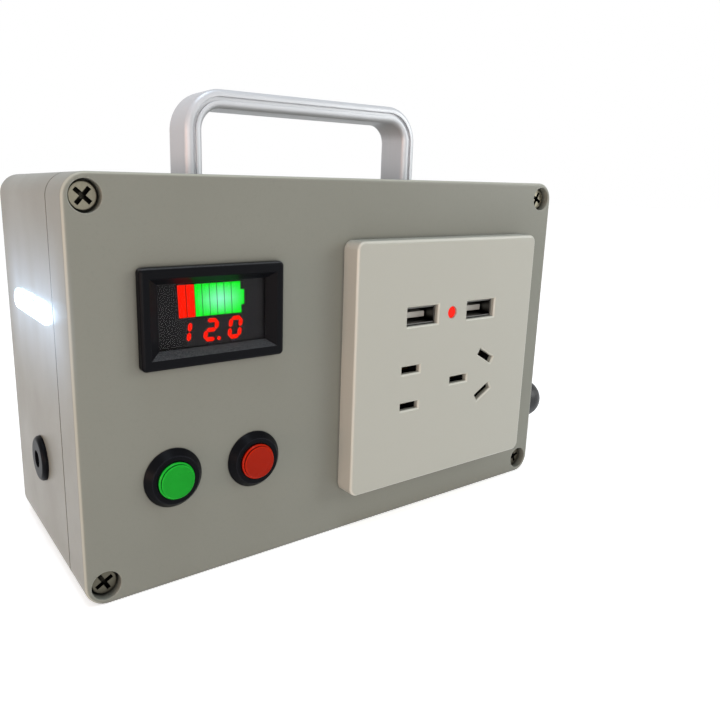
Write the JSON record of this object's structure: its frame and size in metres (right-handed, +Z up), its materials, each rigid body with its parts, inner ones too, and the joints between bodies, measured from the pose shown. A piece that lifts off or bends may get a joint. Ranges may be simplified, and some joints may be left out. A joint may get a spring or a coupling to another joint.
{
  "type": "hand crank generator",
  "caption": "Portable power box with a hand crank, carrying handle, wall socket with charging ports, battery meter, push buttons, side lamp and charge inlet.",
  "frame": {"origin": "centre of the enclosure's underside", "axes": "+Z up, the control panel faces -Y, the crank turns on an axis along +X on the right side"},
  "size_m": [0.2432, 0.0823, 0.1472],
  "materials": {
    "grey_enclosure": "fine satin, warm grey",
    "seal_rubber": "matt",
    "plated_screw": "dull yellowish plating",
    "handle_alloy": "satin anodised",
    "cream_plastic": "glossy warm white",
    "contact_brass": "stamped",
    "shell_metal": "bright nickel",
    "tongue_plastic": "satin",
    "circuit_board": "lacquered",
    "indicator_red": "clear red, lit",
    "black_plastic": "semi-gloss",
    "clear_window": "clear",
    "lit_red": "lit",
    "lit_green": "lit",
    "display_face": "dark",
    "green_cap": "semi-gloss green",
    "red_cap": "semi-gloss red",
    "spring_steel": "drawn wire",
    "lens_clear": "clear",
    "lit_white": "lit",
    "plain_steel": "ground",
    "bearing_bronze": "sintered",
    "gear_nylon": "moulded",
    "gear_brass": "cut",
    "crank_alloy": "satin",
    "grip_black": "satin",
    "can_steel": "drawn",
    "magnet": "sintered ferrite",
    "copper_winding": "enamelled copper",
    "cell_wrap": "shrink wrap",
    "wire_insulation": "soft"
  },
  "bodies": {
    "enclosure": {"base_shell": "grey_enclosure", "front_cover": "grey_enclosure", "cover_gasket": "seal_rubber", "cover_screws": "plated_screw", "carry_handle": "handle_alloy", "handle_screws": "plain_steel", "socket_faceplate": "cream_plastic", "socket_body": "black_plastic", "socket_contacts": "contact_brass", "socket_screws": "plain_steel", "usb_ports": "shell_metal", "usb_tongues": "tongue_plastic", "usb_board": "circuit_board", "socket_indicator": "indicator_red", "meter_bezel": "black_plastic", "meter_glass": "clear_window", "meter_digits": "lit_red", "gauge_red_bars": "lit_red", "gauge_green_bars": "lit_green", "meter_display": "display_face", "meter_board": "circuit_board", "button_bezels": "black_plastic", "button_springs": "spring_steel", "button_switches": "black_plastic", "button_nuts": "shell_metal", "lamp_lens": "lens_clear", "lamp_leds": "lit_white", "lamp_board": "circuit_board", "dc_jack_shell": "black_plastic", "dc_jack_pin": "shell_metal", "dc_jack_nut": "shell_metal", "gearbox_outer_plate": "plain_steel", "gearbox_inner_plate": "plain_steel", "gearbox_pillars": "plain_steel", "inner_screws": "plain_steel", "gearbox_screws": "plated_screw", "shaft_bushes": "bearing_bronze", "idler_axle": "plain_steel", "generator_can": "can_steel", "generator_brush_gear": "black_plastic", "generator_magnets": "magnet", "battery_cells": "cell_wrap", "battery_holder": "black_plastic", "inverter_board": "circuit_board", "transformer": "copper_winding", "heat_sink": "crank_alloy", "charge_board": "circuit_board", "inner_wires": "wire_insulation"},
    "crank": {"crank_shaft": "plain_steel", "drive_gear": "gear_nylon", "crank_arm": "crank_alloy", "crank_screw": "plated_screw", "grip_pin": "plain_steel"},
    "grip": {"crank_grip": "grip_black", "grip_cap": "grip_black"},
    "idler": {"idler_gear": "gear_nylon"},
    "rotor": {"generator_rotor": "copper_winding", "generator_pinion": "gear_brass"},
    "green_button": {"green_button_cap": "green_cap"},
    "red_button": {"red_button_cap": "red_cap"}
  },
  "joints": [
    {"name": "crank_spin", "type": "hinge", "parent": "enclosure", "child": "crank", "pos_m": [0.09, 0, 0.06], "axis": [1, 0, 0], "continuous": true},
    {"name": "grip_spin", "type": "hinge", "parent": "crank", "child": "grip", "pos_m": [0.12, 0, 0.015], "axis": [1, 0, 0], "continuous": true},
    {"name": "idler_spin", "type": "hinge", "parent": "enclosure", "child": "idler", "pos_m": [0.08, 0.008, 0.08891], "axis": [1, 0, 0], "continuous": true},
    {"name": "rotor_spin", "type": "hinge", "parent": "enclosure", "child": "rotor", "pos_m": [0.04, 0.016, 0.06417], "axis": [1, 0, 0], "continuous": true},
    {"name": "green_button_press", "type": "slide", "parent": "enclosure", "child": "green_button", "axis": [0, 1, 0], "range_m": [0, 0.0018], "stiffness_N_per_m": 300},
    {"name": "red_button_press", "type": "slide", "parent": "enclosure", "child": "red_button", "axis": [0, 1, 0], "range_m": [0, 0.0018], "stiffness_N_per_m": 300}
  ],
  "couplings": [
    {"joint": "idler_spin", "follows": "crank_spin", "ratio": -4},
    {"joint": "rotor_spin", "follows": "crank_spin", "ratio": 13.333}
  ]
}
